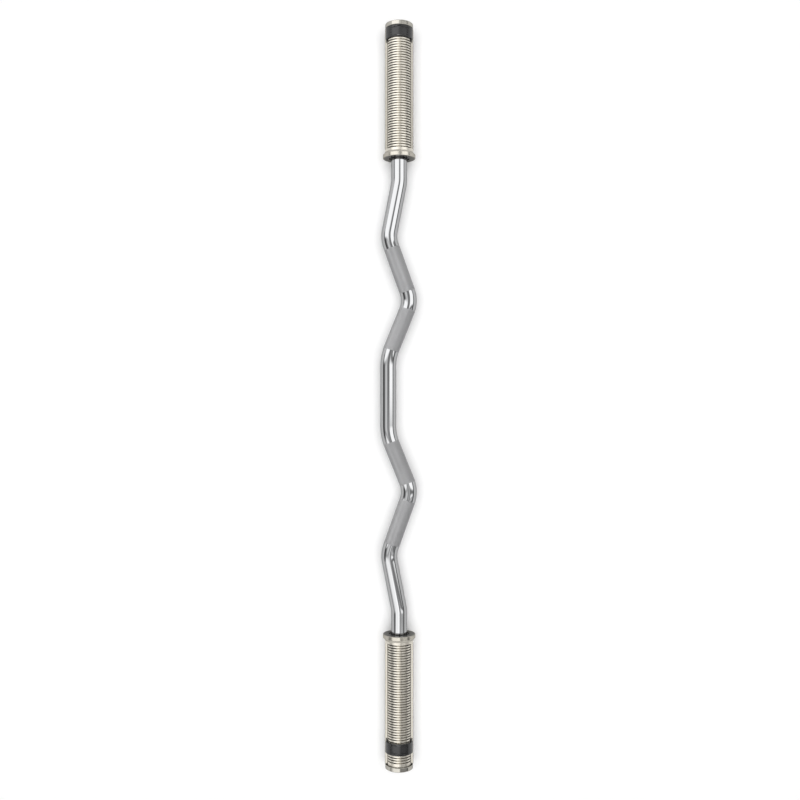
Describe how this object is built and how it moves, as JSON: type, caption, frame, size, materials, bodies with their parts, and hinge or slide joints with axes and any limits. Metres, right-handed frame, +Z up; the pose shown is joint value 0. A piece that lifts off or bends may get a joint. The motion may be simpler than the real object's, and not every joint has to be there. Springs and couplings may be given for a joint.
{
  "type": "ez curl bar",
  "caption": "Zigzag curl bar with knurled grips, free-turning ribbed sleeves for disc weights, and flush sliding locks with flip-up wings.",
  "frame": {"origin": "on the floor under the middle of the bar, which lies on its two flanges", "axes": "+X along the bar to its right end, +Z up, the bends lie level and the middle grip is at +Y"},
  "size_m": [1.306, 0.064, 0.057],
  "materials": {
    "shaft_chrome": "polished hard chrome",
    "nickel": "polished warm nickel plate",
    "lock_black": "satin black",
    "steel": "bright steel",
    "bronze": "sintered bronze",
    "rubber": "matte black rubber"
  },
  "bodies": {
    "shaft": {"shaft": "shaft_chrome", "left_thrust_washer": "steel", "left_retaining_ring": "steel", "right_thrust_washer": "steel", "right_retaining_ring": "steel"},
    "left_sleeve": {"left_flange_collar": "nickel", "left_shaft_seal": "rubber", "left_inner_bushing": "bronze", "left_outer_bushing": "bronze", "left_sleeve": "nickel", "left_rear_rail": "nickel", "left_front_rail": "nickel", "left_rail_screws": "steel", "left_end_cap": "nickel"},
    "left_upper_saddle": {"left_upper_saddle": "lock_black", "left_upper_wing_pin": "steel", "left_upper_latch_spring": "steel"},
    "left_upper_wing": {"left_upper_wing": "lock_black"},
    "left_lower_saddle": {"left_lower_saddle": "lock_black", "left_lower_wing_pin": "steel", "left_lower_latch_spring": "steel"},
    "left_lower_wing": {"left_lower_wing": "lock_black"},
    "right_sleeve": {"right_flange_collar": "nickel", "right_shaft_seal": "rubber", "right_inner_bushing": "bronze", "right_outer_bushing": "bronze", "right_sleeve": "nickel", "right_rear_rail": "nickel", "right_front_rail": "nickel", "right_rail_screws": "steel", "right_end_cap": "nickel"},
    "right_upper_saddle": {"right_upper_saddle": "lock_black", "right_upper_wing_pin": "steel", "right_upper_latch_spring": "steel"},
    "right_upper_wing": {"right_upper_wing": "lock_black"},
    "right_lower_saddle": {"right_lower_saddle": "lock_black", "right_lower_wing_pin": "steel", "right_lower_latch_spring": "steel"},
    "right_lower_wing": {"right_lower_wing": "lock_black"}
  },
  "joints": [
    {"name": "left_sleeve_spin", "type": "hinge", "parent": "shaft", "child": "left_sleeve", "pos_m": [-0.53, 0, 0.0285], "axis": [-1, 0, 0], "continuous": true},
    {"name": "left_upper_lock_slide", "type": "slide", "parent": "left_sleeve", "child": "left_upper_saddle", "axis": [-1, 0, 0], "range_m": [-0.16768, 0.0203]},
    {"name": "left_upper_wing_flip", "type": "hinge", "parent": "left_upper_saddle", "child": "left_upper_wing", "pos_m": [-0.62098, 0, 0.0515], "axis": [0, -1, 0], "range_deg": [0, 90]},
    {"name": "left_lower_lock_slide", "type": "slide", "parent": "left_sleeve", "child": "left_lower_saddle", "axis": [-1, 0, 0], "range_m": [-0.16768, 0.0203]},
    {"name": "left_lower_wing_flip", "type": "hinge", "parent": "left_lower_saddle", "child": "left_lower_wing", "pos_m": [-0.62098, 0, 0.0055], "axis": [0, 1, 0], "range_deg": [0, 90]},
    {"name": "right_sleeve_spin", "type": "hinge", "parent": "shaft", "child": "right_sleeve", "pos_m": [0.53, 0, 0.0285], "axis": [1, 0, 0], "continuous": true},
    {"name": "right_upper_lock_slide", "type": "slide", "parent": "right_sleeve", "child": "right_upper_saddle", "axis": [1, 0, 0], "range_m": [-0.18798, 0]},
    {"name": "right_upper_wing_flip", "type": "hinge", "parent": "right_upper_saddle", "child": "right_upper_wing", "pos_m": [0.64128, 0, 0.0515], "axis": [0, 1, 0], "range_deg": [0, 90]},
    {"name": "right_lower_lock_slide", "type": "slide", "parent": "right_sleeve", "child": "right_lower_saddle", "axis": [1, 0, 0], "range_m": [-0.18798, 0]},
    {"name": "right_lower_wing_flip", "type": "hinge", "parent": "right_lower_saddle", "child": "right_lower_wing", "pos_m": [0.64128, 0, 0.0055], "axis": [0, -1, 0], "range_deg": [0, 90]}
  ]
}
